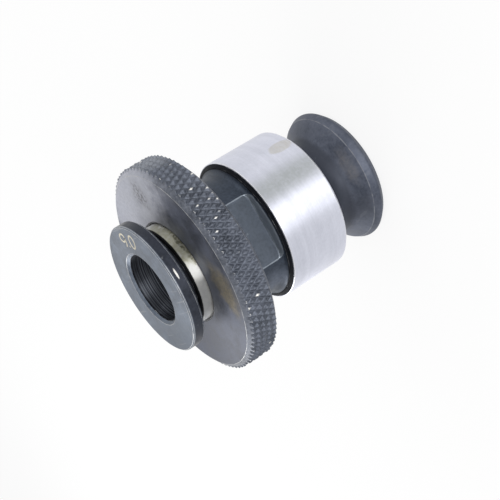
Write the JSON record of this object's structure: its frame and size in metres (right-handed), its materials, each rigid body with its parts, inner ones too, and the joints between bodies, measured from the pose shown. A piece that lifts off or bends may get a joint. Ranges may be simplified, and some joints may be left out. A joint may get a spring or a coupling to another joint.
{
  "type": "tapping head",
  "caption": "Quick-change tap adapter: ground cylindrical shank, knurled flange with spanner flats behind it, and a spring-loaded press disc that frees the balls holding the tap.",
  "frame": {"origin": "centre of the tail's end face, on the axis", "axes": "+Z along the axis towards the tap's mouth, -Y out of one spanner flat"},
  "size_m": [0.028, 0.028, 0.0305],
  "materials": {
    "body_steel": "ground on the shank, black oxide on hub, collar and tail",
    "black_oxide": "oiled black oxide, worn bright on edges and knurl points",
    "bright_steel": "fine ground, lightly greased",
    "ball_steel": "polished",
    "spring_steel": "drawn wire, oiled",
    "bronze": "turned"
  },
  "bodies": {
    "adapter": {"shank_body": "body_steel", "knurled_flange": "black_oxide", "flange_pin": "bright_steel", "lock_spring": "spring_steel"},
    "carrier": {"thrust_washer": "bronze"},
    "sleeve": {"cage_sleeve": "bright_steel", "release_disc": "black_oxide"},
    "ball_1": {"lock_ball_1": "ball_steel"},
    "ball_2": {"lock_ball_2": "ball_steel"},
    "ball_3": {"lock_ball_3": "ball_steel"},
    "ball_4": {"lock_ball_4": "ball_steel"},
    "ball_5": {"lock_ball_5": "ball_steel"},
    "ball_6": {"lock_ball_6": "ball_steel"}
  },
  "joints": [
    {"name": "sleeve_press", "type": "slide", "parent": "adapter", "child": "carrier", "axis": [0, 0, -1], "range_m": [0, 0.0018], "stiffness_N_per_m": 2000, "springref_m": -0.004, "deforming": ["lock_spring"]},
    {"name": "sleeve_turn", "type": "hinge", "parent": "carrier", "child": "sleeve", "pos_m": [0, 0, 0.02], "axis": [0, 0, 1], "continuous": true},
    {"name": "ball_1_out", "type": "slide", "parent": "sleeve", "child": "ball_1", "axis": [1, 0, 0], "range_m": [0, 0.000384]},
    {"name": "ball_2_out", "type": "slide", "parent": "sleeve", "child": "ball_2", "axis": [0.5, 0.866, 0], "range_m": [0, 0.000384]},
    {"name": "ball_3_out", "type": "slide", "parent": "sleeve", "child": "ball_3", "axis": [-0.5, 0.866, 0], "range_m": [0, 0.000384]},
    {"name": "ball_4_out", "type": "slide", "parent": "sleeve", "child": "ball_4", "axis": [-1, 0, 0], "range_m": [0, 0.000384]},
    {"name": "ball_5_out", "type": "slide", "parent": "sleeve", "child": "ball_5", "axis": [-0.5, -0.866, 0], "range_m": [0, 0.000384]},
    {"name": "ball_6_out", "type": "slide", "parent": "sleeve", "child": "ball_6", "axis": [0.5, -0.866, 0], "range_m": [0, 0.000384]}
  ],
  "couplings": [
    {"joint": "ball_1_out", "follows": "sleeve_press", "ratio": 0.21256},
    {"joint": "ball_2_out", "follows": "sleeve_press", "ratio": 0.21256},
    {"joint": "ball_3_out", "follows": "sleeve_press", "ratio": 0.21256},
    {"joint": "ball_4_out", "follows": "sleeve_press", "ratio": 0.21256},
    {"joint": "ball_5_out", "follows": "sleeve_press", "ratio": 0.21256},
    {"joint": "ball_6_out", "follows": "sleeve_press", "ratio": 0.21256}
  ]
}
